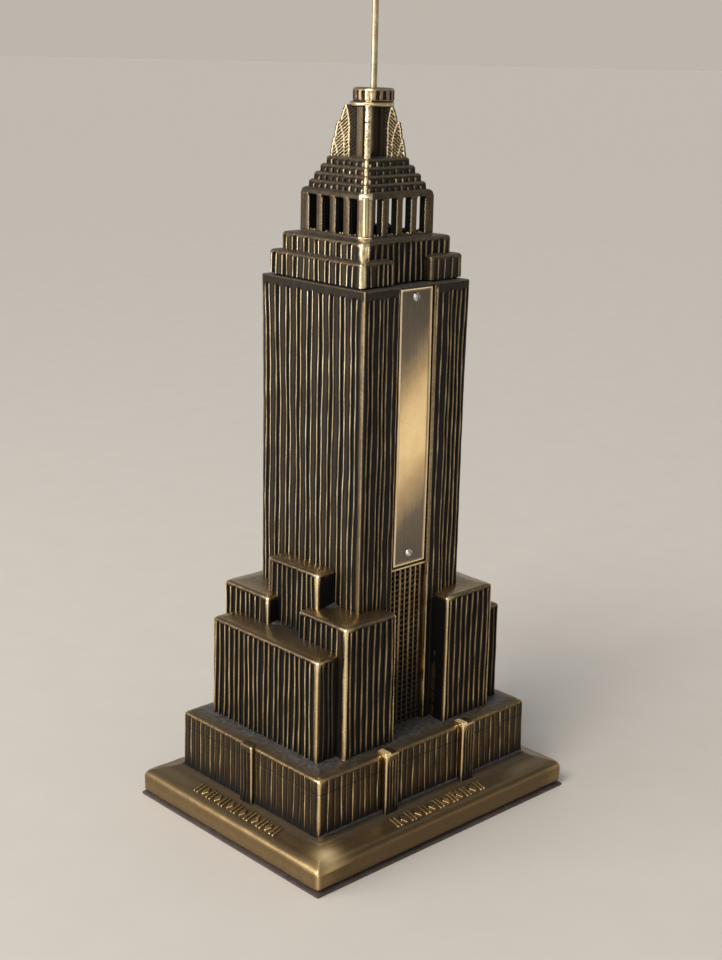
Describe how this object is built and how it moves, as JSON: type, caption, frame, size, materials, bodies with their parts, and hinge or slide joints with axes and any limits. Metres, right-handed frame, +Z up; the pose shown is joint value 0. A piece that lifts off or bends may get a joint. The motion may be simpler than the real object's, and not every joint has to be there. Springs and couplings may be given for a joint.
{
  "type": "miniature landmark model",
  "caption": "Cast metal desk model of a stepped tower with ribbed walls, a lift-off windowed head, a thin spire rod and a narrow plaque up one face.",
  "frame": {"origin": "middle of the underside, on the surface that the model stands on", "axes": "+Z up along the tower, +X to the right along the plaque face, -Y out of the plaque face"},
  "size_m": [0.1854, 0.1464, 0.4452],
  "materials": {
    "antique_bronze": "antique bronze plating: near-black in the grooves, worn to gold on ribs and edges",
    "rod_brass": "drawn rod, lightly tarnished",
    "plaque_brass": "satin brushed",
    "plated_steel": "bright nickel plating",
    "fibre_sheet": "dull dark-brown fibre board"
  },
  "bodies": {
    "tower": {"tower_casting": "antique_bronze", "plaque_plate": "plaque_brass", "plaque_screws": "plated_steel", "bottom_sheet": "fibre_sheet", "bottom_screws": "plated_steel"},
    "head": {"head_casting": "antique_bronze", "spire_rod": "rod_brass", "spire_nut": "rod_brass"}
  },
  "joints": [
    {"name": "head_lift", "type": "slide", "parent": "tower", "child": "head", "axis": [0, 0, 1], "range_m": [0, 0.04]}
  ]
}
